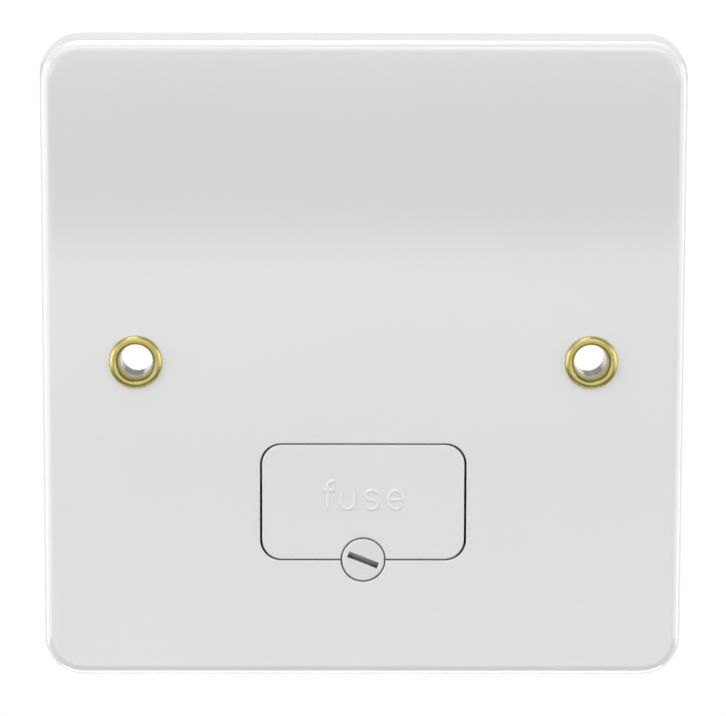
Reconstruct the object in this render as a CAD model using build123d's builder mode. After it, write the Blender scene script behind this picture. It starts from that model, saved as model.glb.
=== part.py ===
from build123d import *
import os

# Fused connection unit: a square wall plate, a pull-out fuse carrier and a terminal housing behind.
# Millimetres. X to the right, Y into the wall, Z up, origin at the plate's centre on the wall plane.

# Wall plate
plate_width = 86.0
plate_height = 86.0
plate_depth = 7.6
plate_corner_radius = 5.6
side_draft = 4.5
front_edge_radius = 1.6
face_thickness = 2.6
rim_wall = 2.2
gusset_thickness = 1.2
gusset_reach = 2.0
gusset_height = 3.4
gusset_spacing = 18.0
gussets_per_side = 4

# Fixing holes and their brass eyelets
fixing_spacing = 60.3
fixing_bore_radius = 2.15
fixing_boss_radius = 4.6
eyelet_flange_overhang = 0.52
eyelet_flange_height = 0.75
eyelet_flange_edge = 0.1
eyelet_crest_width = 0.8
eyelet_wall = 0.85
eyelet_depth = 2.5
eyelet_throat_length = 0.3

# Cartridge fuse
fuse_length = 25.4
fuse_tube_radius = 2.9
fuse_tube_bore = 1.8
fuse_cap_length = 5.5
fuse_cap_wall = 0.25
fuse_cap_end = 0.5
fuse_cap_edge = 0.3
fuse_wire_radius = 0.25

# Fuse carrier
carrier_height = 15.5
carrier_drop = 18.855
carrier_corner_radius = 2.65
carrier_gap = 0.15
carrier_end_play = 0.13
carrier_face = 2.4
carrier_edge_radius = 0.25
window_edge_radius = 0.2
collar_wall = 1.0
end_tab = 0.6
end_tab_inset = 0.05
end_tab_half_height = 3.0
cradle_wall = 1.2
cradle_gap = 1.0
cradle_floor = 4.4
cradle_lip = 1.2

# Carrier screw and its insert
head_radius = 2.84
head_height = 2.2
head_edge_radius = 0.25
slot_length = 4.25
slot_width = 0.85
slot_depth = 1.6
slot_turn = -21.5
neck_radius = 1.35
thread_radius = 1.7
thread_length = 4.0
thread_chamfer = 0.35
lug_thickness = 2.2
lug_web = 4.0
insert_wall = 0.85
insert_length = 5.0
screw_boss_wall = 1.2

# Brass strips
strap_thickness = 0.6
strap_width = 7.0
strap_tongue_width = 13.6
strap_gap = 0.2
strip_thickness = 0.8
strip_width = 4.8
strip_bend_radius = 0.7
jaw_lead = 3.4
jaw_flare = 0.6
jaw_flare_length = 1.4
web_gap = 3.85
strip_tail_height = 4.4
neutral_bar_height = 3.0
neutral_bar_gap = 1.2
strip_insertion = 2.0

# Terminals
block_width = 6.2
block_depth = 9.5
block_height = 9.5
block_edge = 0.3
cable_bore_radius = 2.1
cable_bore_cover = 1.2
terminal_shank_radius = 1.95
terminal_head_radius = 2.7
terminal_head_height = 1.6
terminal_head_edge = 0.25
terminal_travel = 3.6
terminal_tip_gap = 0.2
terminal_tip_chamfer = 0.8
terminal_slot_width = 0.9
terminal_slot_depth = 0.9

# Rear housing
bay_wall = 1.6
bay_floor = 1.8
bay_rear_margin = 0.5
bay_top_margin = 2.5
ledge_thickness = 1.8
ledge_above_strap = 1.7
housing_wall = 1.8
housing_corner_radius = 2.0
housing_edge_radius = 0.8
bank_edge_radius = 0.4
tab_reach = 3.0
tab_radius = 3.0
tab_thickness = 2.0
post_height = 2.0
post_upper_z = 13.0
post_lower_z = -22.0
housing_screw_radius = 1.45
housing_screw_head_radius = 2.6
housing_screw_head_height = 1.8
housing_screw_head_edge = 0.7
housing_screw_grip = 3.0
cross_slot_length = 3.4
cross_slot_width = 0.8
cross_slot_depth = 0.9

# Clearances
fit_clearance = 0.05
neck_clearance = 0.08
press_clearance = 0.02
bay_clearance = 0.1
end_clearance = 0.1
seat_gap = 0.1
bottom_clearance = 0.3
strap_clearance = 0.15

# Depths along Y, from the front of the plate to the rear of the housing
front = -plate_depth
face_back = front + face_thickness
strap_front = -strap_thickness
head_rear = front + head_height
lug_rear = head_rear + lug_thickness
collar_rear = lug_rear
screw_boss_front = lug_rear + seat_gap
carrier_back = front + carrier_face
seat_radius = fuse_tube_radius + fit_clearance
fuse_cap_radius = fuse_tube_radius + fuse_cap_wall
fuse_y = carrier_back + cradle_floor + seat_radius
jaw_tip = fuse_y - jaw_lead
strip_front = fuse_y + fuse_cap_radius + web_gap
chamber_rear = strip_front + strip_thickness
tray_rear = chamber_rear + housing_wall
bay_floor_front = strap_gap
block_front = bay_floor_front + bay_floor
block_rear = block_front + block_depth
cable_y = block_front + cable_bore_cover + cable_bore_radius
terminal_tip = cable_y + cable_bore_radius + terminal_tip_gap
terminal_head_front = block_rear + terminal_travel + bottom_clearance
terminal_head_rear = terminal_head_front + terminal_head_height
bank_rear = terminal_head_rear + bay_rear_margin
tab_front = face_back + post_height
tab_rear = tab_front + tab_thickness

# Places along X
fixing_x = fixing_spacing / 2
carrier_width = fuse_length + 2 * (end_clearance + end_tab + end_tab_inset)
jaw_x = (fuse_length - fuse_cap_length) / 2
cradle_half_length = fuse_length / 2 - fuse_cap_length - cradle_gap
bay_width = block_width + 2 * bay_clearance
bay_pitch = bay_width + bay_wall
earth_x = bay_pitch / 2
neutral_x = earth_x + bay_pitch
live_x = neutral_x + bay_pitch
inner_half = live_x + bay_width / 2
housing_half = inner_half + housing_wall
post_x = housing_half + tab_reach
eyelet_body_radius = fixing_bore_radius + eyelet_wall
eyelet_flange_radius = eyelet_body_radius + eyelet_flange_overhang
eyelet_crest_radius = eyelet_flange_radius - eyelet_crest_width

# Heights along Z
carrier_z = -carrier_drop
screw_z = carrier_z - (carrier_height + carrier_gap) / 2
head_hole_radius = head_radius + carrier_gap
insert_bore = thread_radius + fit_clearance
insert_radius = insert_bore + insert_wall
screw_boss_radius = insert_radius + press_clearance + screw_boss_wall
screw_boss_top = screw_z + screw_boss_radius
fuse_z = (screw_boss_top + carrier_z + carrier_height / 2) / 2
chamber_bottom = screw_z - head_hole_radius - collar_wall - bottom_clearance
chamber_top = strap_width / 2 + ledge_above_strap
block_bottom = chamber_top + ledge_thickness
block_top = block_bottom + block_height
terminal_z = block_bottom + block_height / 2
bank_top = block_top + bay_top_margin
housing_bottom = chamber_bottom - housing_wall
strip_top = block_bottom + strip_insertion

fixing_places = ((-fixing_x, 0), (fixing_x, 0))
post_places = (
    (-post_x, post_upper_z),
    (post_x, post_upper_z),
    (-post_x, post_lower_z),
    (post_x, post_lower_z),
)
terminal_places = {
    "live_supply": live_x,
    "neutral_supply": neutral_x,
    "earth_supply": earth_x,
    "earth_load": -earth_x,
    "neutral_load": -neutral_x,
    "live_load": -live_x,
}

os.makedirs("parts", exist_ok=True)


def facing(y):
    """Sketch plane at depth y that faces the front, with its own X and Y along X and Z."""
    return Plane.XZ.offset(-y)


def slab(x, y, z, mode=Mode.ADD):
    """Box between two limits on each axis."""
    with Locations(((x[0] + x[1]) / 2, (y[0] + y[1]) / 2, (z[0] + z[1]) / 2)):
        Box(x[1] - x[0], y[1] - y[0], z[1] - z[0], mode=mode)


def window_outline(margin):
    """Outline of the carrier with its screw, grown by a margin and by the play at both ends."""
    with Locations((0, carrier_z)):
        RectangleRounded(
            carrier_width + 2 * (margin + carrier_end_play),
            carrier_height + 2 * margin,
            carrier_corner_radius + margin,
        )
    with Locations((0, screw_z)):
        Circle(head_radius + margin)


# Front plate: drafted shell with a rounded front edge
with BuildPart() as front_plate:
    with BuildSketch(facing(0)):
        RectangleRounded(plate_width, plate_height, plate_corner_radius)
    extrude(amount=plate_depth, taper=side_draft)
    fillet(front_plate.faces().sort_by(Axis.Y)[0].edges(), front_edge_radius)
    with BuildSketch(facing(0)):
        RectangleRounded(
            plate_width - 2 * rim_wall,
            plate_height - 2 * rim_wall,
            plate_corner_radius - rim_wall,
        )
    extrude(amount=-face_back, taper=side_draft, mode=Mode.SUBTRACT)
    # Window for the carrier, with a guiding collar behind it
    with BuildSketch(facing(collar_rear)):
        window_outline(carrier_gap + collar_wall)
    extrude(amount=collar_rear - face_back)
    with BuildSketch(facing(collar_rear)):
        window_outline(carrier_gap)
    extrude(amount=collar_rear - front, mode=Mode.SUBTRACT)
    fillet(front_plate.faces().sort_by(Axis.Y)[0].inner_wires()[0].edges(), window_edge_radius)
    # Bosses for the fixing screws, bored through and recessed for the eyelets
    with BuildSketch(facing(strap_front)):
        with Locations(*fixing_places):
            Circle(fixing_boss_radius)
    extrude(amount=strap_front - face_back)
    with BuildSketch(facing(strap_front)):
        with Locations(*fixing_places):
            Circle(fixing_bore_radius)
    extrude(amount=strap_front - front, mode=Mode.SUBTRACT)
    with BuildSketch(facing(front + eyelet_depth)):
        with Locations(*fixing_places):
            Circle(eyelet_body_radius + press_clearance)
    extrude(amount=eyelet_depth, mode=Mode.SUBTRACT)
    # Posts for the housing screws
    with BuildSketch(facing(tab_front)):
        with Locations(*post_places):
            Circle(tab_radius)
    extrude(amount=post_height)
    with BuildSketch(facing(tab_front)):
        with Locations(*post_places):
            Circle(housing_screw_radius + fit_clearance)
    extrude(amount=housing_screw_grip + bottom_clearance, mode=Mode.SUBTRACT)
    # Gussets between the rim and the face
    for step in range(gussets_per_side):
        along = (step - (gussets_per_side - 1) / 2) * gusset_spacing
        across = (along - gusset_thickness / 2, along + gusset_thickness / 2)
        depth = (face_back, face_back + gusset_height)
        for side in (-1, 1):
            rim_x = side * (plate_width / 2 - rim_wall)
            rim_z = side * (plate_height / 2 - rim_wall)
            reach_x = sorted((rim_x - side * gusset_reach, rim_x + side * rim_wall / 2))
            reach_z = sorted((rim_z - side * gusset_reach, rim_z + side * rim_wall / 2))
            slab(reach_x, depth, across)
            slab(across, depth, reach_z)
front_plate.part.label = "front_plate"
export_step(front_plate.part, "parts/front_plate.step")

# Brass eyelets: rolled flange, funnel and short throat
for name, place in (("eyelet_left", -fixing_x), ("eyelet_right", fixing_x)):
    with BuildPart() as eyelet:
        with BuildSketch(Plane.XY):
            with BuildLine(Plane.XY):
                crest = (place + eyelet_crest_radius, front - eyelet_flange_height)
                edge = (place + eyelet_flange_radius, front - eyelet_flange_edge)
                throat = (place + fixing_bore_radius, front + eyelet_depth - eyelet_throat_length)
                EllipticalCenterArc(
                    (crest[0], throat[1]),
                    crest[0] - throat[0],
                    throat[1] - crest[1],
                    start_angle=180,
                    arc_size=90,
                )
                EllipticalCenterArc(
                    (crest[0], edge[1]),
                    edge[0] - crest[0],
                    edge[1] - crest[1],
                    start_angle=270,
                    arc_size=90,
                )
                Polyline(
                    edge,
                    (place + eyelet_flange_radius, front),
                    (place + eyelet_body_radius, front),
                    (place + eyelet_body_radius, front + eyelet_depth),
                    (place + fixing_bore_radius, front + eyelet_depth),
                    throat,
                )
            make_face()
        revolve(axis=Axis((place, 0, 0), (0, 1, 0)))
    eyelet.part.label = name
    export_step(eyelet.part, f"parts/{name}.step")

# Fuse carrier: flush face, cradle for the fuse, end tabs and the lug that the screw turns in
with BuildPart() as fuse_carrier:
    with BuildSketch(facing(carrier_back)):
        with Locations((0, carrier_z)):
            RectangleRounded(carrier_width, carrier_height, carrier_corner_radius)
    extrude(amount=carrier_face)
    with BuildSketch(facing(lug_rear)):
        with Locations((0, screw_z)):
            Circle(head_radius)
        with Locations((0, screw_z + lug_web / 2)):
            Rectangle(2 * head_radius, lug_web)
    extrude(amount=lug_rear - carrier_back)
    with BuildSketch(facing(head_rear)):
        with Locations((0, screw_z)):
            Circle(head_hole_radius)
    extrude(amount=head_height, mode=Mode.SUBTRACT)
    with BuildSketch(facing(lug_rear)):
        with Locations((0, screw_z)):
            Circle(neck_radius + neck_clearance)
    extrude(amount=lug_rear - front, mode=Mode.SUBTRACT)
    fillet(fuse_carrier.faces().sort_by(Axis.Y)[0].edges(), carrier_edge_radius)
    cradle_half_height = seat_radius + cradle_wall
    cradle_z = (fuse_z - cradle_half_height, fuse_z + cradle_half_height)
    slab((-cradle_half_length, cradle_half_length), (carrier_back, fuse_y + cradle_lip), cradle_z)
    with BuildSketch(Plane.YZ.offset(-cradle_half_length)):
        with Locations((fuse_y, fuse_z)):
            Circle(seat_radius)
    extrude(amount=2 * cradle_half_length, mode=Mode.SUBTRACT)
    end_tab_z = (fuse_z - end_tab_half_height, fuse_z + end_tab_half_height)
    tab_inner = fuse_length / 2 + end_clearance
    for side in (-1, 1):
        end_tab_x = sorted((side * tab_inner, side * (tab_inner + end_tab)))
        slab(end_tab_x, (carrier_back, fuse_y + cradle_lip), end_tab_z)
fuse_carrier.part.label = "fuse_carrier"
export_step(fuse_carrier.part, "parts/fuse_carrier.step")

# Carrier screw: flush slotted head, neck in the lug and thread behind it
with BuildPart() as carrier_screw:
    with BuildSketch(facing(head_rear)):
        with Locations((0, screw_z)):
            Circle(head_radius)
    extrude(amount=head_height)
    fillet(carrier_screw.faces().sort_by(Axis.Y)[0].edges(), head_edge_radius)
    with BuildSketch(facing(front + slot_depth)):
        with Locations((0, screw_z)):
            Rectangle(slot_length, slot_width, rotation=slot_turn)
    extrude(amount=slot_depth, mode=Mode.SUBTRACT)
    with BuildSketch(facing(screw_boss_front)):
        with Locations((0, screw_z)):
            Circle(neck_radius)
    extrude(amount=screw_boss_front - head_rear)
    with BuildSketch(facing(screw_boss_front + thread_length)):
        with Locations((0, screw_z)):
            Circle(thread_radius)
    extrude(amount=thread_length)
    chamfer(carrier_screw.faces().sort_by(Axis.Y)[-1].edges(), thread_chamfer)
carrier_screw.part.label = "carrier_screw"
export_step(carrier_screw.part, "parts/carrier_screw.step")

# Threaded insert for the carrier screw
with BuildPart() as screw_insert:
    with BuildSketch(facing(screw_boss_front + insert_length)):
        with Locations((0, screw_z)):
            Circle(insert_radius)
            Circle(insert_bore, mode=Mode.SUBTRACT)
    extrude(amount=insert_length)
screw_insert.part.label = "screw_insert"
export_step(screw_insert.part, "parts/screw_insert.step")

# Cartridge fuse: ceramic tube, two end caps and the wire inside
fuse_plane = Plane(origin=(0, fuse_y, fuse_z), x_dir=(0, 1, 0), z_dir=(1, 0, 0))
fuse_inner_half = fuse_length / 2 - fuse_cap_end
with BuildPart() as fuse_tube:
    with BuildSketch(fuse_plane):
        Circle(fuse_tube_radius)
        Circle(fuse_tube_bore, mode=Mode.SUBTRACT)
    extrude(amount=fuse_inner_half, both=True)
fuse_tube.part.label = "fuse_tube"
export_step(fuse_tube.part, "parts/fuse_tube.step")

with BuildPart() as fuse_element:
    with BuildSketch(fuse_plane):
        Circle(fuse_wire_radius)
    extrude(amount=fuse_inner_half, both=True)
fuse_element.part.label = "fuse_element"
export_step(fuse_element.part, "parts/fuse_element.step")

for name, side in (("fuse_cap_left", -1), ("fuse_cap_right", 1)):
    with BuildPart() as fuse_cap:
        with BuildSketch(fuse_plane.offset(side * fuse_length / 2)):
            Circle(fuse_cap_radius)
        extrude(amount=-side * fuse_cap_length)
        fillet(fuse_cap.edges().sort_by(Axis.X)[-1 if side > 0 else 0], fuse_cap_edge)
        with BuildSketch(fuse_plane.offset(side * fuse_inner_half)):
            Circle(fuse_tube_radius + press_clearance)
        extrude(amount=-side * (fuse_cap_length - fuse_cap_end), mode=Mode.SUBTRACT)
    fuse_cap.part.label = name
    export_step(fuse_cap.part, f"parts/{name}.step")

# Live strips: sprung jaws on the fuse cap, with a tail up to the terminal block
jaw_inner = fuse_cap_radius + fit_clearance
jaw_outer = jaw_inner + strip_thickness
for name, side in (("supply_clip", 1), ("load_clip", -1)):
    with BuildPart() as live_clip:
        with BuildSketch(Plane.YZ.offset(side * jaw_x)):
            with Locations(((strip_front + jaw_tip) / 2, fuse_z)):
                Rectangle(strip_front - jaw_tip, 2 * jaw_outer)
                Rectangle(strip_front - jaw_tip, 2 * jaw_inner, mode=Mode.SUBTRACT)
            for edge in (-1, 1):
                with BuildLine():
                    Polyline(
                        (jaw_tip, fuse_z + edge * jaw_inner),
                        (jaw_tip, fuse_z + edge * jaw_outer),
                        (jaw_tip - jaw_flare_length, fuse_z + edge * (jaw_outer + jaw_flare)),
                        (jaw_tip - jaw_flare_length, fuse_z + edge * (jaw_inner + jaw_flare)),
                        close=True,
                    )
                make_face()
            with Locations(((strip_front + chamber_rear) / 2, fuse_z)):
                Rectangle(strip_thickness, 2 * jaw_outer)
        extrude(amount=strip_width / 2, both=True)
        web_edges = live_clip.edges().filter_by(Axis.X).group_by(Axis.Y)[-1]
        fillet(web_edges, strip_bend_radius)
        tail_z = (fuse_z - strip_tail_height / 2, fuse_z + strip_tail_height / 2)
        tail_x = sorted((side * jaw_x, side * (live_x + strip_width / 2)))
        slab(tail_x, (strip_front, chamber_rear), tail_z)
        riser_x = (side * live_x - strip_width / 2, side * live_x + strip_width / 2)
        slab(riser_x, (strip_front, chamber_rear), (tail_z[0], strip_top))
    live_clip.part.label = name
    export_step(live_clip.part, f"parts/{name}.step")

# Neutral link: one flat strip with two risers
with BuildPart() as neutral_link:
    bar_z = (chamber_top - neutral_bar_gap - neutral_bar_height, chamber_top - neutral_bar_gap)
    bar_half = neutral_x + strip_width / 2
    slab((-bar_half, bar_half), (strip_front, chamber_rear), bar_z)
    for side in (-1, 1):
        riser_x = (side * neutral_x - strip_width / 2, side * neutral_x + strip_width / 2)
        slab(riser_x, (strip_front, chamber_rear), (bar_z[0], strip_top))
neutral_link.part.label = "neutral_link"
export_step(neutral_link.part, "parts/neutral_link.step")

# Earth strap: bar between the fixing holes, with a tongue folded back under the earth terminals
with BuildPart() as earth_strap:
    with BuildSketch(facing(0)):
        Rectangle(fixing_spacing, strap_width)
        with Locations(*fixing_places):
            Circle(fixing_boss_radius)
        with Locations((0, block_bottom / 2)):
            Rectangle(strap_tongue_width, block_bottom)
        with Locations(*fixing_places):
            Circle(fixing_bore_radius + strap_clearance, mode=Mode.SUBTRACT)
    extrude(amount=strap_thickness)
    tongue_x = (-strap_tongue_width / 2, strap_tongue_width / 2)
    tongue_rear = cable_y + cable_bore_radius
    slab(tongue_x, (strap_front, tongue_rear), (block_bottom - strap_thickness, block_bottom))
    fold_edge = earth_strap.edges().filter_by(Axis.X).group_by(Axis.Z)[-1].sort_by(Axis.Y)[0]
    fillet(fold_edge, strap_thickness)
earth_strap.part.label = "earth_strap"
export_step(earth_strap.part, "parts/earth_strap.step")

# Terminal blocks and their screws
for name, place in terminal_places.items():
    block_x = (place - block_width / 2, place + block_width / 2)
    with BuildPart() as terminal_block:
        slab(block_x, (block_front, block_rear), (block_bottom, block_top))
        chamfer(terminal_block.edges(), block_edge)
        with BuildSketch(Plane.XY.offset(block_bottom)):
            with Locations((place, cable_y)):
                Circle(cable_bore_radius)
        extrude(amount=block_height, mode=Mode.SUBTRACT)
        with BuildSketch(facing(block_rear)):
            with Locations((place, terminal_z)):
                Circle(terminal_shank_radius + fit_clearance)
        extrude(amount=block_rear - cable_y, mode=Mode.SUBTRACT)
        if not name.startswith("earth"):
            pocket_half = strip_width / 2 + fit_clearance
            slab(
                (place - pocket_half, place + pocket_half),
                (strip_front - fit_clearance, chamber_rear + fit_clearance),
                (block_bottom, strip_top + fit_clearance),
                Mode.SUBTRACT,
            )
    terminal_block.part.label = f"{name}_block"
    export_step(terminal_block.part, f"parts/{name}_block.step")

    with BuildPart() as terminal_screw:
        with BuildSketch(facing(terminal_head_rear)):
            with Locations((place, terminal_z)):
                Circle(terminal_head_radius)
        extrude(amount=terminal_head_height)
        fillet(terminal_screw.faces().sort_by(Axis.Y)[-1].edges(), terminal_head_edge)
        with BuildSketch(facing(terminal_head_front)):
            with Locations((place, terminal_z)):
                Circle(terminal_shank_radius)
        extrude(amount=terminal_head_front - terminal_tip)
        chamfer(terminal_screw.faces().sort_by(Axis.Y)[0].edges(), terminal_tip_chamfer)
        with BuildSketch(facing(terminal_head_rear)):
            with Locations((place, terminal_z)):
                Rectangle(2 * terminal_head_radius, terminal_slot_width)
        extrude(amount=terminal_slot_depth, mode=Mode.SUBTRACT)
    terminal_screw.part.label = f"{name}_screw"
    export_step(terminal_screw.part, f"parts/{name}_screw.step")

# Rear housing: fuse tray below, bank of six open terminal bays above
with BuildPart() as rear_housing:
    housing_x = (-housing_half, housing_half)
    slab(housing_x, (face_back, tray_rear), (housing_bottom, block_bottom))
    fillet(rear_housing.edges().filter_by(Axis.Y).group_by(Axis.Z)[0], housing_corner_radius)
    fillet(rear_housing.faces().sort_by(Axis.Y)[-1].edges(), housing_edge_radius)
    slab(housing_x, (face_back, bank_rear), (chamber_top, bank_top))
    fillet(rear_housing.edges().filter_by(Axis.Y).group_by(Axis.Z)[-1], housing_edge_radius)
    fillet(rear_housing.faces().sort_by(Axis.Y)[-1].edges(), bank_edge_radius)
    inner_x = (-inner_half, inner_half)
    slab(inner_x, (face_back, chamber_rear), (chamber_bottom, chamber_top), Mode.SUBTRACT)
    slab(inner_x, (face_back, bay_floor_front), (chamber_bottom, bank_top - housing_wall), Mode.SUBTRACT)
    for name, place in terminal_places.items():
        bay_x = (place - bay_width / 2, place + bay_width / 2)
        slab(bay_x, (block_front, bank_rear), (block_bottom, bank_top), Mode.SUBTRACT)
        if not name.startswith("earth"):
            slab(
                (place - strip_width / 2 - bay_clearance, place + strip_width / 2 + bay_clearance),
                (strip_front - bay_clearance, chamber_rear + bay_clearance),
                (chamber_top, block_bottom),
                Mode.SUBTRACT,
            )
    # Channel for the earth tongue, notches for the strap and room for the fixing bosses
    channel_half = strap_tongue_width / 2 + bay_clearance
    channel_z = (block_bottom - strap_thickness, block_bottom)
    slab(
        (-channel_half, channel_half),
        (bay_floor_front, tongue_rear + bay_clearance),
        channel_z,
        Mode.SUBTRACT,
    )
    notch_half = strap_width / 2 + strap_clearance
    slab(housing_x, (face_back, fit_clearance), (-notch_half, notch_half), Mode.SUBTRACT)
    with BuildSketch(facing(fit_clearance)):
        with Locations(*fixing_places):
            Circle(fixing_boss_radius + bay_clearance)
    extrude(amount=fit_clearance - face_back, mode=Mode.SUBTRACT)
    # Boss that carries the threaded insert
    with BuildSketch(facing(chamber_rear)):
        with Locations((0, screw_z)):
            Circle(screw_boss_radius)
        with Locations((0, (screw_z + chamber_bottom) / 2)):
            Rectangle(2 * screw_boss_radius, screw_z - chamber_bottom)
    extrude(amount=chamber_rear - screw_boss_front)
    with BuildSketch(facing(screw_boss_front + insert_length)):
        with Locations((0, screw_z)):
            Circle(insert_radius + press_clearance)
    extrude(amount=insert_length, mode=Mode.SUBTRACT)
    # Tabs that rest on the plate's posts
    for place in post_places:
        side = 1 if place[0] > 0 else -1
        with BuildSketch(facing(tab_rear)):
            with Locations(place):
                Circle(tab_radius)
            with Locations((place[0] - side * tab_reach / 2, place[1])):
                Rectangle(tab_reach, 2 * tab_radius)
        extrude(amount=tab_thickness)
    with BuildSketch(facing(tab_rear)):
        with Locations(*post_places):
            Circle(housing_screw_radius + bay_clearance)
    extrude(amount=tab_thickness, mode=Mode.SUBTRACT)
rear_housing.part.label = "rear_housing"
export_step(rear_housing.part, "parts/rear_housing.step")

# Screws that hold the housing on the plate
with BuildPart() as housing_screws:
    with BuildSketch(facing(tab_rear + housing_screw_head_height)):
        with Locations(*post_places):
            Circle(housing_screw_head_radius)
    extrude(amount=housing_screw_head_height)
    head_tops = housing_screws.faces().filter_by(Axis.Y).group_by(Axis.Y)[-1]
    fillet(head_tops.edges(), housing_screw_head_edge)
    with BuildSketch(facing(tab_rear)):
        with Locations(*post_places):
            Circle(housing_screw_radius)
    extrude(amount=tab_thickness + housing_screw_grip)
    with BuildSketch(facing(tab_rear + housing_screw_head_height)):
        with Locations(*post_places):
            Rectangle(cross_slot_length, cross_slot_width)
            Rectangle(cross_slot_width, cross_slot_length)
    extrude(amount=cross_slot_depth, mode=Mode.SUBTRACT)
housing_screws.part.label = "housing_screws"
export_step(housing_screws.part, "parts/housing_screws.step")
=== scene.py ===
import math

import bmesh
import bpy
from mathutils import Matrix, Quaternion, Vector


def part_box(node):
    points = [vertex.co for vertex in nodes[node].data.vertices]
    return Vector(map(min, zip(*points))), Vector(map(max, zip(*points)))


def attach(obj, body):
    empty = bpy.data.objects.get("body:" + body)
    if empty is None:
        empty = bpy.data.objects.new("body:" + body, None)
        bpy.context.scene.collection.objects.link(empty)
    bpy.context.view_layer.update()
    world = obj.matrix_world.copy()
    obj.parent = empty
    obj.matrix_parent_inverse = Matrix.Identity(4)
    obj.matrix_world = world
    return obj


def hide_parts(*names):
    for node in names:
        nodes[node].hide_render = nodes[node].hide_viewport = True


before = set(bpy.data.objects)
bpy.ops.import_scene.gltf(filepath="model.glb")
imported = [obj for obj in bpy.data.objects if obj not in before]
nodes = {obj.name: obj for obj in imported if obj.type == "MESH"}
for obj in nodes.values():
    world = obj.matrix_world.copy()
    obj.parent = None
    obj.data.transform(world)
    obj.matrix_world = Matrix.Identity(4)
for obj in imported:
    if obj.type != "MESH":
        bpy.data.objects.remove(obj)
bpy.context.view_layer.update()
mm = 0.001
scene = bpy.context.scene
print("frame loaded:", len(nodes), "nodes")


# Small tools

def linearColour(hexCode):  # sRGB hex to the linear colour that a shader takes
    channels = [int(hexCode[i:i + 2], 16) / 255 for i in (1, 3, 5)]
    linear = [c / 12.92 if c <= 0.04045 else ((c + 0.055) / 1.055) ** 2.4 for c in channels]
    return (*linear, 1.0)


def perMm(size):  # texture scale that gives features of this size in millimetres
    return 1 / (size * mm)


def addNode(tree, kind, settings=None, inputs=None, links=None):
    node = tree.nodes.new(kind)
    for name, value in (settings or {}).items():
        setattr(node, name, value)
    for name, value in (inputs or {}).items():
        node.inputs[name].default_value = value
    for name, source in (links or {}).items():
        tree.links.new(source, node.inputs[name])
    return node


def newMaterial(name, **sockets):
    material = bpy.data.materials.new(name)
    material.use_nodes = True
    tree = material.node_tree
    tree.nodes.clear()
    shader = addNode(tree, "ShaderNodeBsdfPrincipled", inputs=sockets)
    addNode(tree, "ShaderNodeOutputMaterial", links={"Surface": shader.outputs["BSDF"]})
    place = addNode(tree, "ShaderNodeTexCoord").outputs["Object"]
    return material, tree, shader, place


def joinSkin(tree, shader, colour, polish, bump):  # a surface's colour, roughness and relief
    tree.links.new(colour.outputs[2], shader.inputs["Base Color"])
    tree.links.new(polish.outputs["Result"], shader.inputs["Roughness"])
    tree.links.new(bump.outputs["Normal"], shader.inputs["Normal"])


def addPiece(name, mesh, material):
    piece = bpy.data.objects.new(name, mesh)
    scene.collection.objects.link(piece)
    mesh.materials.clear()
    mesh.materials.append(material)
    return piece


def plainMesh(source):  # the evaluated object as a mesh of its own, and the object is removed
    bpy.context.view_layer.update()
    mesh = bpy.data.meshes.new_from_object(source.evaluated_get(bpy.context.evaluated_depsgraph_get()))
    bpy.data.objects.remove(source)
    return mesh


# Materials, with the sizes of their patterns in millimetres

whiteSkin = {
    "flow": 26,  # patches where the powder flowed together
    "speck": 2.2,
    "speckLevels": (0.84, 0.9),
    "speckShare": 0.2,
    "speckShade": "#7d786c",
    "roughSpread": 0.03,
    "peel": 3.5,  # slow waves in the gloss
    "peelDepth": 0.006,
}


def whiteMoulding(name, tone, drift, rough, coatRough=0.04):
    # Urea resin, pressed in a polished steel tool: a hard cool white with a deep gloss,
    # a faint drift in tone where the powder flowed, and a rare dark grain of filler.
    skin = whiteSkin
    material, tree, shader, place = newMaterial(
        name, **{"IOR": 1.58, "Coat Weight": 1.0, "Coat Roughness": coatRough, "Coat IOR": 1.5}
    )
    flow = addNode(tree, "ShaderNodeTexNoise", inputs={"Scale": perMm(skin["flow"]), "Detail": 2},
                   links={"Vector": place})
    body = addNode(tree, "ShaderNodeMix", {"data_type": "RGBA"},
                   {6: linearColour(tone), 7: linearColour(drift)}, {"Factor": flow.outputs["Fac"]})
    grain = addNode(tree, "ShaderNodeTexNoise", inputs={"Scale": perMm(skin["speck"]), "Detail": 1},
                    links={"Vector": place})
    low, high = skin["speckLevels"]
    speck = addNode(tree, "ShaderNodeMapRange",
                    inputs={"From Min": low, "From Max": high, "To Max": skin["speckShare"]},
                    links={"Value": grain.outputs["Fac"]})
    colour = addNode(tree, "ShaderNodeMix", {"data_type": "RGBA"}, {7: linearColour(skin["speckShade"])},
                     {"Factor": speck.outputs["Result"], 6: body.outputs[2]})
    spread = skin["roughSpread"]
    polish = addNode(tree, "ShaderNodeMapRange", inputs={"To Min": rough - spread, "To Max": rough + spread},
                     links={"Value": flow.outputs["Fac"]})
    peel = addNode(tree, "ShaderNodeTexNoise", inputs={"Scale": perMm(skin["peel"]), "Detail": 1},
                   links={"Vector": place})
    bump = addNode(tree, "ShaderNodeBump", inputs={"Strength": 0.3, "Distance": skin["peelDepth"] * mm},
                   links={"Height": peel.outputs["Fac"]})
    joinSkin(tree, shader, colour, polish, bump)
    return material


satinSkin = {
    "flow": 14,
    "pits": 0.35,
    "pitDepth": 0.02,
    "rough": (0.36, 0.5),
}


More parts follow.
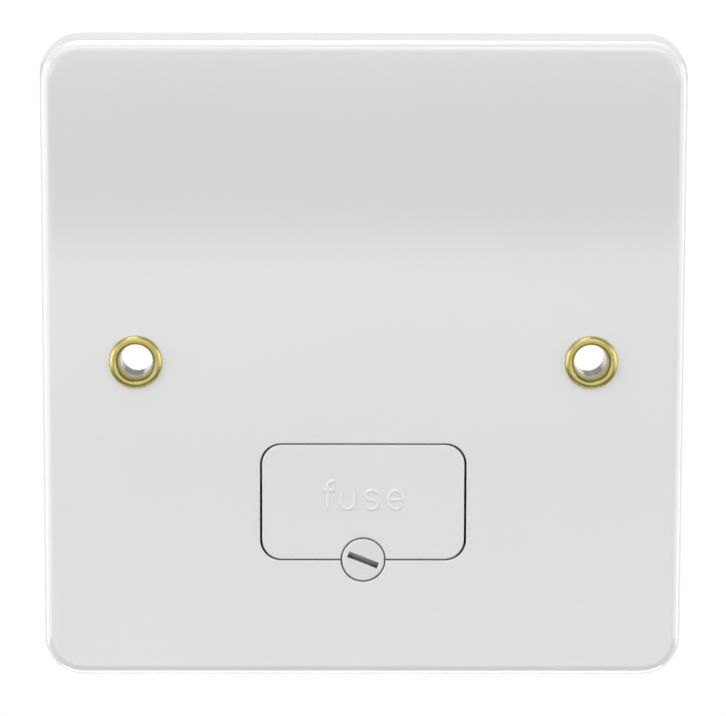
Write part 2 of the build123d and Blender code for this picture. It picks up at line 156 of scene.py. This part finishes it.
def satinMoulding(name, tone, drift):
    # The same resin from a spark-eroded tool, as on hidden mouldings: an even satin skin of fine pits.
    skin = satinSkin
    material, tree, shader, place = newMaterial(name, **{"IOR": 1.55})
    flow = addNode(tree, "ShaderNodeTexNoise", inputs={"Scale": perMm(skin["flow"]), "Detail": 3},
                   links={"Vector": place})
    colour = addNode(tree, "ShaderNodeMix", {"data_type": "RGBA"},
                     {6: linearColour(tone), 7: linearColour(drift)}, {"Factor": flow.outputs["Fac"]})
    pits = addNode(tree, "ShaderNodeTexNoise", inputs={"Scale": perMm(skin["pits"]), "Detail": 3},
                   links={"Vector": place})
    low, high = skin["rough"]
    polish = addNode(tree, "ShaderNodeMapRange", inputs={"To Min": low, "To Max": high},
                     links={"Value": pits.outputs["Fac"]})
    bump = addNode(tree, "ShaderNodeBump", inputs={"Strength": 0.5, "Distance": skin["pitDepth"] * mm},
                   links={"Height": pits.outputs["Fac"]})
    joinSkin(tree, shader, colour, polish, bump)
    return material


metalSkin = {
    "film": 1.8,  # blotches of tarnish
    "smoother": 0.07,  # how far the lines take the roughness down and up
    "rougher": 0.09,
}


def bareMetal(name, bright, dull, rough, stretch, grain, depth):
    # Bare or plated metal: the colour of the metal with a thin uneven film over it,
    # and the fine lines that drawing, rolling or turning left, along the long side of stretch.
    skin = metalSkin
    material, tree, shader, place = newMaterial(name, **{"Metallic": 1.0})
    film = addNode(tree, "ShaderNodeTexNoise", inputs={"Scale": perMm(skin["film"]), "Detail": 4},
                   links={"Vector": place})
    colour = addNode(tree, "ShaderNodeMix", {"data_type": "RGBA"},
                     {6: linearColour(bright), 7: linearColour(dull)}, {"Factor": film.outputs["Fac"]})
    along = addNode(tree, "ShaderNodeMapping", inputs={"Scale": stretch}, links={"Vector": place})
    lines = addNode(tree, "ShaderNodeTexNoise", inputs={"Scale": perMm(grain), "Detail": 3},
                    links={"Vector": along.outputs["Vector"]})
    polish = addNode(tree, "ShaderNodeMapRange",
                     inputs={"To Min": rough - skin["smoother"], "To Max": rough + skin["rougher"]},
                     links={"Value": lines.outputs["Fac"]})
    bump = addNode(tree, "ShaderNodeBump", inputs={"Strength": 0.4, "Distance": depth * mm},
                   links={"Height": lines.outputs["Fac"]})
    joinSkin(tree, shader, colour, polish, bump)
    return material


ceramicSkin = {
    "grain": 0.4,
    "grainDepth": 0.015,
    "rough": (0.45, 0.65),
}


def firedCeramic(name, tone, drift):
    # Steatite, fired without a glaze: a dry warm white with a sugary grain.
    skin = ceramicSkin
    material, tree, shader, place = newMaterial(name, **{"IOR": 1.6})
    grain = addNode(tree, "ShaderNodeTexNoise", inputs={"Scale": perMm(skin["grain"]), "Detail": 4},
                    links={"Vector": place})
    colour = addNode(tree, "ShaderNodeMix", {"data_type": "RGBA"},
                     {6: linearColour(tone), 7: linearColour(drift)}, {"Factor": grain.outputs["Fac"]})
    low, high = skin["rough"]
    polish = addNode(tree, "ShaderNodeMapRange", inputs={"To Min": low, "To Max": high},
                     links={"Value": grain.outputs["Fac"]})
    bump = addNode(tree, "ShaderNodeBump", inputs={"Strength": 0.4, "Distance": skin["grainDepth"] * mm},
                   links={"Height": grain.outputs["Fac"]})
    joinSkin(tree, shader, colour, polish, bump)
    return material


def paintSlotShade(material, paintedShade, centre, turn, width):  # painted shade in a slot, darker where it is closed in and towards its lower wall
    tree = material.node_tree
    socket = next(n for n in tree.nodes if n.type == "BSDF_PRINCIPLED").inputs["Base Color"]
    clean = socket.links[0].from_socket
    place = addNode(tree, "ShaderNodeTexCoord").outputs["Object"]
    across = addNode(tree, "ShaderNodeMapping", {"vector_type": "TEXTURE"},
                     {"Location": centre, "Rotation": (0, math.radians(-turn), 0)}, {"Vector": place})
    parts = addNode(tree, "ShaderNodeSeparateXYZ", links={"Vector": across.outputs["Vector"]})
    # painted shade, heaviest at the slot's lower wall and none at its upper one
    lowSideShade = addNode(tree, "ShaderNodeMapRange",
                   inputs={"From Min": -width / 2 * mm, "From Max": width / 2 * mm,
                           "To Min": paintedShade["below"], "To Max": paintedShade["above"]},
                   links={"Value": parts.outputs["Z"]})
    # and painted shade where the slot closes in, read from the occlusion
    openness = addNode(tree, "ShaderNodeAmbientOcclusion", {"samples": 8, "only_local": True},
                       {"Distance": paintedShade["reach"] * mm})
    closed, free = paintedShade["openness"]
    hidden = addNode(tree, "ShaderNodeMapRange",
                     inputs={"From Min": closed, "From Max": free, "To Min": 1.0, "To Max": 0.0},
                     links={"Value": openness.outputs["AO"]})
    shadeShare = addNode(tree, "ShaderNodeMath", {"operation": "MULTIPLY"},
                   links={0: lowSideShade.outputs["Result"], 1: hidden.outputs["Result"]})
    mixed = addNode(tree, "ShaderNodeMix", {"data_type": "RGBA"}, {7: linearColour(paintedShade["shade"])},
                    {"Factor": shadeShare.outputs["Value"], 6: clean})
    tree.links.new(mixed.outputs[2], socket)


plateResin = whiteMoulding("plateResin", "#e8e8e8", "#e4e4e5", rough=0.1)
carrierResin = whiteMoulding("carrierResin", "#e8e8e8", "#e4e4e5", rough=0.11)
wordResinPaintedLight = whiteMoulding(  # raised strokes in the plate's resin painted lighter, a painted highlight for the light they catch; the gloss dulled by thumbs
    "wordResinPaintedLight", "#ececec", "#e9e9ea", rough=0.3, coatRough=0.3
)
screwResin = whiteMoulding("screwResin", "#e4e4e4", "#dfdfe0", rough=0.26)
housingResin = satinMoulding("housingResin", "#ecebe6", "#e4e2dc")
pressedBrass = bareMetal(
    "pressedBrass", "#d0c67e", "#beb369", rough=0.3, stretch=(1, 1, 1), grain=0.7, depth=0.006
)
machinedBrass = bareMetal(
    "machinedBrass", "#e3c476", "#cda95a", rough=0.26, stretch=(1, 1, 0.08), grain=0.12, depth=0.006
)
rolledBrass = bareMetal(
    "rolledBrass", "#e0c274", "#c9a858", rough=0.3, stretch=(0.05, 1, 1), grain=0.14, depth=0.005
)
zincPlate = bareMetal(
    "zincPlate", "#c3c8cc", "#b3b1a6", rough=0.3, stretch=(1, 0.3, 1), grain=0.25, depth=0.006
)
nickelPlate = bareMetal(
    "nickelPlate", "#d2cfc7", "#c2bdb2", rough=0.18, stretch=(0.2, 1, 1), grain=0.2, depth=0.004
)
tinnedWire = bareMetal(
    "tinnedWire", "#c8c6c0", "#b5b0a6", rough=0.3, stretch=(0.1, 1, 1), grain=0.1, depth=0.003
)
steatite = firedCeramic("steatite", "#ece8de", "#e0dacb")

finishes = {
    "front_plate": plateResin,
    "fuse_carrier": carrierResin,
    "carrier_screw": screwResin,
    "rear_housing": housingResin,
    "housing_screws": zincPlate,
    "screw_insert": machinedBrass,
    "eyelet_left": pressedBrass,
    "eyelet_right": pressedBrass,
    "fuse_tube": steatite,
    "fuse_cap_left": nickelPlate,
    "fuse_cap_right": nickelPlate,
    "fuse_element": tinnedWire,
    "supply_clip": rolledBrass,
    "load_clip": rolledBrass,
    "neutral_link": rolledBrass,
    "earth_strap": rolledBrass,
}
terminals = [name.removesuffix("_block") for name in nodes if name.endswith("_block")]
for terminal in terminals:
    finishes[f"{terminal}_block"] = machinedBrass
    finishes[f"{terminal}_screw"] = zincPlate
for name, material in finishes.items():
    nodes[name].material_slots[0].material = material
print("finishes on", len(finishes), "nodes")


# Turned screws with real threads, in place of the plain CAD shanks

turning = {  # millimetres and degrees
    "steps": 72,
    "weld": 0.0001,
    "softEdge": 0.05,
    "softFrom": 40,  # edges that turn by more than this get the soft edge
    "smoothTo": 38,  # and those that turn by less than this are shaded smooth
}
thread = {  # millimetres
    "pitch": 0.7,
    "cornersOfRidge": ((-0.44, -0.2), (-0.08, 1.0), (0.08, 1.0), (0.44, -0.2)),  # shares of pitch and depth
    "stepsPerTurn": 40,
}
terminalScrew = {  # millimetres, heights from the tip
    "tipRadius": 1.15,
    "coreRadius": 1.55,
    "crestRadius": 1.95,
    "flare": 0.2,  # of the shank into the head
    "headRadius": 2.7,
    "headHeight": 1.6,
    "headCrown": 0.12,
    "footEdge": 0.1,
    "edge": 0.16,
    "slot": (6.0, 0.9, 0.9),  # length, width and depth
    "slotTurn": 0.0,
    "threadStart": 0.75,
    "threadEnd": 7.4,
}
carrierScrew = {
    "tipRadius": 1.3,
    "tipEdge": 0.1,
    "coreRadius": 1.38,
    "crestRadius": 1.7,
    "neckStart": 4.0,
    "neckStep": 0.05,
    "neckRadius": 1.35,
    "headRadius": 2.84,
    "headHeight": 2.2,
    "footEdge": 0.1,
    "edge": 0.25,
    "slot": (4.25, 0.85, 1.6),
    "slotTurn": -21.5,
    # painted shade in the slot, standing in for the shade that falls in it
    "paintedShade": {
        "shade": "#3f3d39",
        "reach": 1.2,
        "openness": (0.4, 0.9),  # full where a spot is this closed in, and none where it is this open
        "below": 1.0,  # share of painted shade at the slot's lower wall, and at its upper one
        "above": 0.0,
    },
    "threadStart": 0.4,
    "threadEnd": 3.8,
}


def threadTree():  # a ridge that winds up a shank
    tree = bpy.data.node_groups.new("screwThread", "GeometryNodeTree")
    for name in ("Core radius", "Depth", "Pitch", "Turns"):
        tree.interface.new_socket(name, in_out="INPUT", socket_type="NodeSocketFloat")
    tree.interface.new_socket("Finish", in_out="INPUT", socket_type="NodeSocketMaterial")
    tree.interface.new_socket("Geometry", in_out="OUTPUT", socket_type="NodeSocketGeometry")
    size = addNode(tree, "NodeGroupInput").outputs
    length = addNode(tree, "ShaderNodeMath", {"operation": "MULTIPLY"},
                     links={0: size["Pitch"], 1: size["Turns"]})
    helix = addNode(tree, "GeometryNodeCurveSpiral", inputs={"Resolution": thread["stepsPerTurn"]},
                    links={"Rotations": size["Turns"], "Start Radius": size["Core radius"],
                           "End Radius": size["Core radius"], "Height": length.outputs["Value"]})
    level = addNode(tree, "GeometryNodeSetCurveNormal", {"mode": "Z_UP"},
                    links={"Curve": helix.outputs["Curve"]})
    whole = addNode(tree, "ShaderNodeCombineXYZ", links={"X": size["Pitch"], "Y": size["Depth"]})
    corners = {}
    for number, (along, out) in enumerate(thread["cornersOfRidge"], 1):
        corner = addNode(tree, "ShaderNodeVectorMath", {"operation": "MULTIPLY"}, {1: (along, out, 0)},
                         {0: whole.outputs["Vector"]})
        corners[f"Point {number}"] = corner.outputs["Vector"]
    section = addNode(tree, "GeometryNodeCurvePrimitiveQuadrilateral", {"mode": "POINTS"}, links=corners)
    ridge = addNode(tree, "GeometryNodeCurveToMesh", inputs={"Fill Caps": True},
                    links={"Curve": level.outputs["Curve"], "Profile Curve": section.outputs["Curve"]})
    plain = addNode(tree, "GeometryNodeRealizeInstances", links={"Geometry": ridge.outputs["Mesh"]})
    dressed = addNode(tree, "GeometryNodeSetMaterial",
                      links={"Geometry": plain.outputs["Geometry"], "Material": size["Finish"]})
    addNode(tree, "NodeGroupOutput", links={"Geometry": dressed.outputs["Geometry"]})
    return tree


def grownMesh(tree, values, points=()):  # what a Geometry Nodes tree makes of these inputs
    mesh = bpy.data.meshes.new(tree.name)
    mesh.from_pydata(points, [], [])
    holder = bpy.data.objects.new(tree.name, mesh)
    scene.collection.objects.link(holder)
    grow = holder.modifiers.new("grow", "NODES")
    grow.node_group = tree
    for item in tree.interface.items_tree:
        if item.in_out == "INPUT" and item.name in values:
            grow[item.identifier] = values[item.name]
    return plainMesh(holder)


def lathe(profile):  # solid turned about Z from pairs of radius and height, both ends on the axis
    shape = bmesh.new()
    rim = [shape.verts.new((radius * mm, 0, height * mm)) for radius, height in profile]
    line = [shape.edges.new(pair) for pair in zip(rim, rim[1:])]
    bmesh.ops.spin(shape, geom=rim + line, cent=(0, 0, 0), axis=(0, 0, 1), angle=2 * math.pi,
                   steps=turning["steps"])
    bmesh.ops.remove_doubles(shape, verts=shape.verts, dist=turning["weld"] * mm)
    bmesh.ops.recalc_face_normals(shape, faces=shape.faces)
    mesh = bpy.data.meshes.new("turned")
    shape.to_mesh(mesh)
    shape.free()
    return mesh


def slotCutter(size, turn, top):  # a bar that is taken out of a head
    length, width, depth = size
    shape = bmesh.new()
    bmesh.ops.create_cube(shape, size=1)
    mesh = bpy.data.meshes.new("slotCutter")
    shape.to_mesh(mesh)
    shape.free()
    place = Matrix.Translation((0, 0, top * mm)) @ Matrix.Rotation(math.radians(turn), 4, "Z")
    mesh.transform(place @ Matrix.Diagonal((length * mm, width * mm, 2 * depth * mm, 1)))
    return mesh


def slottedScrew(name, profile, sizes, ridgeTree, finish):  # along Z from its tip, with slot and thread
    turned = addPiece(name, lathe(profile), finish)
    cutter = addPiece("slotCutter", slotCutter(sizes["slot"], sizes["slotTurn"], profile[-1][1]), finish)
    cut = turned.modifiers.new("slot", "BOOLEAN")
    cut.object = cutter
    cut.solver = "EXACT"
    soften = turned.modifiers.new("soften", "BEVEL")
    soften.width = turning["softEdge"] * mm
    soften.segments = 2
    soften.angle_limit = math.radians(turning["softFrom"])
    blank = plainMesh(turned)
    bpy.data.objects.remove(cutter)
    ridge = grownMesh(ridgeTree, {
        "Core radius": sizes["coreRadius"] * mm,
        "Depth": (sizes["crestRadius"] - sizes["coreRadius"]) * mm,
        "Pitch": thread["pitch"] * mm,
        "Turns": (sizes["threadEnd"] - sizes["threadStart"]) / thread["pitch"],
        "Finish": finish,
    })
    ridge.transform(Matrix.Translation((0, 0, sizes["threadStart"] * mm)))
    shape = bmesh.new()
    shape.from_mesh(blank)
    shape.from_mesh(ridge)
    mesh = bpy.data.meshes.new(name)
    shape.to_mesh(mesh)
    shape.free()
    mesh.shade_smooth()
    mesh.set_sharp_from_angle(angle=math.radians(turning["smoothTo"]))
    return mesh


def quarterRound(radius, height, edge, steps=5):  # the rounded edge at the top of a head
    turns = [math.pi / 2 * i / steps for i in range(steps + 1)]
    return [(radius - edge + edge * math.cos(t), height - edge + edge * math.sin(t)) for t in turns]


def terminalProfile(length):
    s = terminalScrew
    under = length - s["headHeight"]
    return [
        (0, 0), (s["tipRadius"], 0), (s["coreRadius"], s["coreRadius"] - s["tipRadius"]),
        (s["coreRadius"], under - s["flare"]), (s["coreRadius"] + s["flare"], under),
        (s["headRadius"] - s["footEdge"], under), (s["headRadius"], under + s["footEdge"]),
        *quarterRound(s["headRadius"], length - s["headCrown"], s["edge"]),
        (s["headRadius"] / 2, length - s["headCrown"] / 4), (0, length),
    ]


def carrierProfile(length):
    s = carrierScrew
    under = length - s["headHeight"]
    return [
        (0, 0), (s["tipRadius"], 0), (s["coreRadius"], s["tipEdge"]), (s["coreRadius"], s["neckStart"]),
        (s["neckRadius"], s["neckStart"] + s["neckStep"]), (s["neckRadius"], under),
        (s["headRadius"] - s["footEdge"], under), (s["headRadius"], under + s["footEdge"]),
        *quarterRound(s["headRadius"], length, s["edge"]), (0, length),
    ]


def makeScrews():
    ridgeTree = threadTree()
    headBack = Matrix.Rotation(math.radians(-90), 4, "X")  # from along Z to along Y, head to the rear
    headFront = Matrix.Rotation(math.radians(90), 4, "X")
    for terminal in terminals:
        low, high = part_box(f"{terminal}_screw")
        length = (high.y - low.y) / mm
        mesh = slottedScrew("screwBlank", terminalProfile(length), terminalScrew, ridgeTree, zincPlate)
        middle = (low + high) / 2
        mesh.transform(Matrix.Translation((middle.x, low.y, middle.z)) @ headBack)
        piece = addPiece(f"{terminal}_screw_threaded", mesh, zincPlate)
        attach(piece, f"{terminal}_clamp")
        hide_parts(f"{terminal}_screw")
    low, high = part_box("carrier_screw")
    length = (high.y - low.y) / mm
    mesh = slottedScrew("screwBlank", carrierProfile(length), carrierScrew, ridgeTree, screwResin)
    middle = (low + high) / 2
    slotWidth = carrierScrew["slot"][1]
    # paints shade into the slot of the screw's resin
    paintSlotShade(screwResin, carrierScrew["paintedShade"], middle, carrierScrew["slotTurn"], slotWidth)
    mesh.transform(Matrix.Translation((middle.x, high.y, middle.z)) @ headFront)
    piece = addPiece("carrier_screw_threaded", mesh, screwResin)
    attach(piece, "lock_screw")
    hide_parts("carrier_screw")


makeScrews()
print("threaded screws:", len(terminals) + 1)


# Raised word on the carrier, in plain round strokes

word = {  # millimetres
    "stroke": 0.5,
    "rise": 0.17,  # height over the face
    "baseline": -19.78,
    "height": 2.54,  # of the round letters, from middle to middle of the strokes
    "voxel": 0.045,
}


def arc(centre, radii, start, end, steps=20):  # points on an ellipse, angles in degrees
    turns = [math.radians(start + (end - start) * i / steps) for i in range(steps + 1)]
    return [(centre[0] + radii[0] * math.cos(t), centre[1] + radii[1] * math.sin(t)) for t in turns]


def wordStrokes(high):  # each letter's place, and its strokes about the middle of its own baseline
    bowl = high / 2
    letterF = [
        [(-0.3, 0.0), (-0.3, 3.05)] + arc((0.5, 3.05), (0.8, 0.75), 180, 75)[1:],
        [(-0.88, high), (0.62, high)],
    ]
    letterU = [
        [(-0.9, high)] + arc((0.0, 0.92), (0.9, 0.92), 180, 360) + [(0.9, high)],
        [(0.9, high), (0.9, 0.0)],
    ]
    letterS = [
        arc((0.0, 0.74 * high), (0.8, 0.26 * high), 25, 270)
        + arc((0.0, 0.24 * high), (0.84, 0.24 * high), 90, -155)[1:],
    ]
    letterE = [[(-0.97, bowl), (0.97, bowl)] + arc((0.0, bowl), (0.97, bowl), 0, 320)[1:]]
    return ((-4.46, letterF), (-2.1, letterU), (1.1, letterS), (4.3, letterE))


def makeWord():
    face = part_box("fuse_carrier")[0].y
    line = bpy.data.curves.new("wordLine", "CURVE")
    line.dimensions = "3D"
    line.bevel_depth = word["stroke"] / 2 * mm
    line.bevel_resolution = 4
    line.use_fill_caps = True
    for middle, strokes in wordStrokes(word["height"]):
        for points in strokes:
            spline = line.splines.new("POLY")
            spline.points.add(len(points) - 1)
            for point, (x, z) in zip(spline.points, points):
                point.co = ((middle + x) * mm, 0, (word["baseline"] + z) * mm, 1)
    tube = bpy.data.objects.new("wordLine", line)
    scene.collection.objects.link(tube)
    joined = addPiece("wordJoined", plainMesh(tube), wordResinPaintedLight)
    merge = joined.modifiers.new("merge", "REMESH")
    merge.mode = "VOXEL"
    merge.voxel_size = word["voxel"] * mm
    merge.use_smooth_shade = True
    soften = joined.modifiers.new("soften", "SMOOTH")
    soften.iterations = 4
    mesh = plainMesh(joined)
    flatten = Matrix.Scale(2 * word["rise"] / word["stroke"], 4, (0, 1, 0))
    mesh.transform(Matrix.Translation((0, face, 0)) @ flatten)
    # the word's resin is painted lighter than the plate, a painted highlight
    piece = addPiece("carrier_word", mesh, wordResinPaintedLight)
    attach(piece, "fuse_drawer")


makeWord()
print("word on the carrier")


# Round marks that the ejector pins leave on the hidden sides of the mouldings

pinMarks = {  # millimetres
    "radius": 1.9,
    "rise": 0.06,
    "shares": ((1.0, 0.94, 0.6), (0.8, 0.74, 1.0)),  # foot, top and height of each step
    "corners": 48,
    "plate": ((-33.5, 33.5), (33.5, 33.5), (-12.0, 30.0), (12.0, 30.0), (-35.0, 8.5), (35.0, 8.5),
              (-35.0, -14.0), (35.0, -14.0), (-33.5, -35.0), (33.5, -35.0)),
    "housing": ((-17.0, -25.0), (17.0, -25.0), (-17.0, -3.0), (17.0, -3.0)),
    "plateFace": 2.6,  # thickness of the plate's face
    "housingTray": 11.75,  # rear of the housing's tray
}


def pinMarkTree():  # a low stepped disc on each point, facing the rear
    tree = bpy.data.node_groups.new("pinMark", "GeometryNodeTree")
    tree.interface.new_socket("Points", in_out="INPUT", socket_type="NodeSocketGeometry")
    for name in ("Radius", "Rise"):
        tree.interface.new_socket(name, in_out="INPUT", socket_type="NodeSocketFloat")
    tree.interface.new_socket("Finish", in_out="INPUT", socket_type="NodeSocketMaterial")
    tree.interface.new_socket("Geometry", in_out="OUTPUT", socket_type="NodeSocketGeometry")
    size = addNode(tree, "NodeGroupInput").outputs
    disc = addNode(tree, "GeometryNodeJoinGeometry")
    for foot, top, high in pinMarks["shares"]:
        parts = []
        for source, share in (("Radius", foot), ("Radius", top), ("Rise", high)):
            part = addNode(tree, "ShaderNodeMath", {"operation": "MULTIPLY"}, {1: share}, {0: size[source]})
            parts.append(part.outputs["Value"])
        step = addNode(tree, "GeometryNodeMeshCone", inputs={"Vertices": pinMarks["corners"]},
                       links={"Radius Bottom": parts[0], "Radius Top": parts[1], "Depth": parts[2]})
        tree.links.new(step.outputs["Mesh"], disc.inputs["Geometry"])
    spread = addNode(tree, "GeometryNodeInstanceOnPoints", inputs={"Rotation": (math.radians(-90), 0, 0)},
                     links={"Points": size["Points"], "Instance": disc.outputs["Geometry"]})
    plain = addNode(tree, "GeometryNodeRealizeInstances", links={"Geometry": spread.outputs["Instances"]})
    dressed = addNode(tree, "GeometryNodeSetMaterial",
                      links={"Geometry": plain.outputs["Geometry"], "Material": size["Finish"]})
    addNode(tree, "NodeGroupOutput", links={"Geometry": dressed.outputs["Geometry"]})
    return tree


def makePinMarks():
    tree = pinMarkTree()
    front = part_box("front_plate")[0].y / mm
    for moulding, depth, finish, slot in (
        ("plate", front + pinMarks["plateFace"], plateResin, "plate_white"),
        ("housing", pinMarks["housingTray"], housingResin, "housing_white"),
    ):
        points = [(x * mm, depth * mm, z * mm) for x, z in pinMarks[moulding]]
        values = {"Radius": pinMarks["radius"] * mm, "Rise": pinMarks["rise"] * mm, "Finish": finish}
        piece = addPiece(f"{moulding}_pin_marks", grownMesh(tree, values, points), finish)
        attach(piece, "unit")


makePinMarks()
print("ejector marks:", len(pinMarks["plate"]) + len(pinMarks["housing"]))


# Camera, floor and light

photoView = {
    "place": (-0.00534, -0.50093, 0.07479),
    "aim": (-0.00008, -0.00751, 0.00055),
    "rollDegrees": 0.16,
    "focalPixels": 3771,
    "imageWidth": 726,
    "sensorWidth": 36,
    "clipStart": 0.01,
}


def makeCamera():
    data = bpy.data.cameras.new("photoCamera")
    data.sensor_width = photoView["sensorWidth"]
    data.lens = photoView["focalPixels"] / photoView["imageWidth"] * data.sensor_width
    data.clip_start = photoView["clipStart"]
    camera = bpy.data.objects.new("photoCamera", data)
    scene.collection.objects.link(camera)
    camera.location = photoView["place"]
    look = Vector(photoView["aim"]) - Vector(photoView["place"])
    roll = Quaternion((0, 0, 1), math.radians(photoView["rollDegrees"]))
    camera.rotation_mode = "QUATERNION"
    camera.rotation_quaternion = look.to_track_quat("-Z", "Y") @ roll
    scene.camera = camera


studio = {  # metres
    "floorHeight": -0.4,
    "floorHalf": 6.0,
    "floorFront": 0.2,  # glow of the floor before the plate and behind it
    "floorBack": 0.8,
    "floorFade": (-0.03, 0.06),  # where the one goes over into the other
    "skyStrength": 0.45,
    "backdropWhite": 1.02,  # what the camera sees around the object, in the photo's direction
    "backdropPale": 0.66,  # and in the others, so that a white object stands out
    "backdropTurn": (0.82, 0.945),
    "frontCard": {
        "depth": -0.56,
        "halfWidth": 0.45,
        "stops": (  # height and brightness
            (-0.36, 2.0), (-0.26, 1.16), (-0.195, 1.3), (-0.11, 0.82), (-0.057, 1.23), (-0.043, 0.0),
            (-0.024, 0.0), (-0.01, 0.0), (0.004, 0.42), (0.03, 1.91), (0.12, 0.31), (0.35, 1.58),
        ),
    },
    "rearCard": {
        "depth": 0.92,
        "halfWidth": 0.5,
        "stops": ((-0.3, 0.8), (0.42, 0.8)),
    },
    "rearShade": {  # before the middle of the rear card, dark where the eyelets' bores look
        "depth": 0.9,
        "halfWidth": 0.165,
        "stops": ((-0.07, 0.8), (0.06, 0.25), (0.15, 0.2), (0.17, 0.8), (0.42, 0.8)),
    },
    "softboxes": {  # place, size and power
        "key": ((-0.06, -0.42, 0.42), (0.9, 0.16), 0.75),
        "overhead": ((-0.1, 0.04, 0.6), (0.5, 0.3), 1.4),
        "rearTop": ((0.15, 0.32, 0.55), (0.5, 0.3), 0.8),
        "under": ((0.0, 0.06, -0.38), (0.5, 0.2), 0.8),
        "leftFront": ((-0.6, -0.3, 0.05), (0.4, 0.5), 1.1),
        "rightFront": ((0.6, -0.3, 0.05), (0.4, 0.5), 0.95),
        "leftSide": ((-0.6, 0.06, 0.0), (0.3, 0.5), 0.85),
        "rightSide": ((0.6, 0.06, 0.0), (0.3, 0.5), 0.9),
    },
}


def stagePlane(name, corners, material):
    mesh = bpy.data.meshes.new(name)
    mesh.from_pydata(corners, [], [(0, 1, 2, 3)])
    plane = addPiece(name, mesh, material)
    return plane


def glowMaterial(name):  # light that leaves one side only, and the other side is clear
    material = bpy.data.materials.new(name)
    material.use_nodes = True
    tree = material.node_tree
    tree.nodes.clear()
    place = addNode(tree, "ShaderNodeTexCoord").outputs["Object"]
    glow = addNode(tree, "ShaderNodeEmission")
    clear = addNode(tree, "ShaderNodeBsdfTransparent")
    behind = addNode(tree, "ShaderNodeNewGeometry").outputs["Backfacing"]
    oneWay = addNode(tree, "ShaderNodeMixShader",
                     links={0: behind, 1: glow.outputs["Emission"], 2: clear.outputs["BSDF"]})
    addNode(tree, "ShaderNodeOutputMaterial", links={"Surface": oneWay.outputs["Shader"]})
    return material, tree, place, glow.inputs["Strength"]


def backdrop(tree, place):  # white in the photo's direction and pale grey in the others
    white, pale = studio["backdropWhite"], studio["backdropPale"]
    turnLow, turnHigh = studio["backdropTurn"]
    way = addNode(tree, "ShaderNodeVectorMath", {"operation": "NORMALIZE"}, links={0: place})
    parts = addNode(tree, "ShaderNodeSeparateXYZ", links={"Vector": way.outputs["Vector"]})
    level = addNode(tree, "ShaderNodeMapRange", {"interpolation_type": "SMOOTHSTEP"},
                    {"From Min": turnLow, "From Max": turnHigh, "To Min": pale, "To Max": white},
                    {"Value": parts.outputs["Y"]})
    seen = addNode(tree, "ShaderNodeLightPath").outputs["Is Camera Ray"]
    return addNode(tree, "ShaderNodeMix", links={"Factor": seen, 3: level.outputs["Result"]})


def makeFloor():
    half, height = studio["floorHalf"], studio["floorHeight"]
    fadeStart, fadeEnd = studio["floorFade"]
    material, tree, place, strength = glowMaterial("paleFloor")
    parts = addNode(tree, "ShaderNodeSeparateXYZ", links={"Vector": place})
    level = addNode(tree, "ShaderNodeMapRange", {"interpolation_type": "SMOOTHSTEP"},
                    {"From Min": fadeStart, "From Max": fadeEnd,
                     "To Min": studio["floorFront"], "To Max": studio["floorBack"]},
                    {"Value": parts.outputs["Y"]})
    mix = backdrop(tree, place)
    tree.links.new(level.outputs["Result"], mix.inputs[2])
    tree.links.new(mix.outputs[0], strength)
    corners = [(-half, -half, height), (half, -half, height), (half, half, height), (-half, half, height)]
    stagePlane("floor", corners, material)


def makeCard(name):  # a tall glowing card that the glossy parts mirror, and the camera doesn't see
    depth, half, stops = studio[name].values()
    low, high = stops[0][0], stops[-1][0]
    material, tree, place, strength = glowMaterial(f"{name}Light")
    parts = addNode(tree, "ShaderNodeSeparateXYZ", links={"Vector": place})
    rise = addNode(tree, "ShaderNodeMapRange", inputs={"From Min": low, "From Max": high},
                   links={"Value": parts.outputs["Z"]})
    ramp = addNode(tree, "ShaderNodeFloatCurve", links={"Value": rise.outputs["Result"]})
    curve = ramp.mapping.curves[0]
    brightest = max(level for _, level in stops)
    while len(curve.points) < len(stops):
        curve.points.new(0.5, 0.5)
    for point, (z, level) in zip(curve.points, stops):
        point.location = ((z - low) / (high - low), level / brightest)
        point.handle_type = "VECTOR"
    ramp.mapping.update()
    level = addNode(tree, "ShaderNodeMath", {"operation": "MULTIPLY"}, {1: brightest},
                    {0: ramp.outputs["Value"]})
    tree.links.new(level.outputs["Value"], strength)
    side = -half if depth < 0 else half  # so that it faces the object
    corners = [(side, depth, high), (-side, depth, high), (-side, depth, low), (side, depth, low)]
    stagePlane(name, corners, material).visible_camera = False


def addSoftbox(name, place, size, power):
    data = bpy.data.lights.new(name, "AREA")
    data.shape = "RECTANGLE"
    data.size, data.size_y = size
    data.energy = power
    lamp = bpy.data.objects.new(name, data)
    scene.collection.objects.link(lamp)
    lamp.location = place
    lamp.rotation_mode = "QUATERNION"
    lamp.rotation_quaternion = (-Vector(place)).to_track_quat("-Z", "Y")
    lamp.visible_camera = False


def makeLight():
    world = bpy.data.worlds.new("studio")
    world.use_nodes = True
    tree = world.node_tree
    tree.nodes.clear()
    mix = backdrop(tree, addNode(tree, "ShaderNodeTexCoord").outputs["Object"])
    mix.inputs[2].default_value = studio["skyStrength"]
    sky = addNode(tree, "ShaderNodeBackground", inputs={"Color": (1, 1, 1, 1)},
                  links={"Strength": mix.outputs[0]})
    addNode(tree, "ShaderNodeOutputWorld", links={"Surface": sky.outputs["Background"]})
    scene.world = world
    for name, (place, size, power) in studio["softboxes"].items():
        addSoftbox(name, place, size, power)
    scene.view_settings.view_transform = "Standard"


makeCamera()
makeFloor()
for card in ("frontCard", "rearCard", "rearShade"):
    makeCard(card)
makeLight()
print("camera, floor and light")
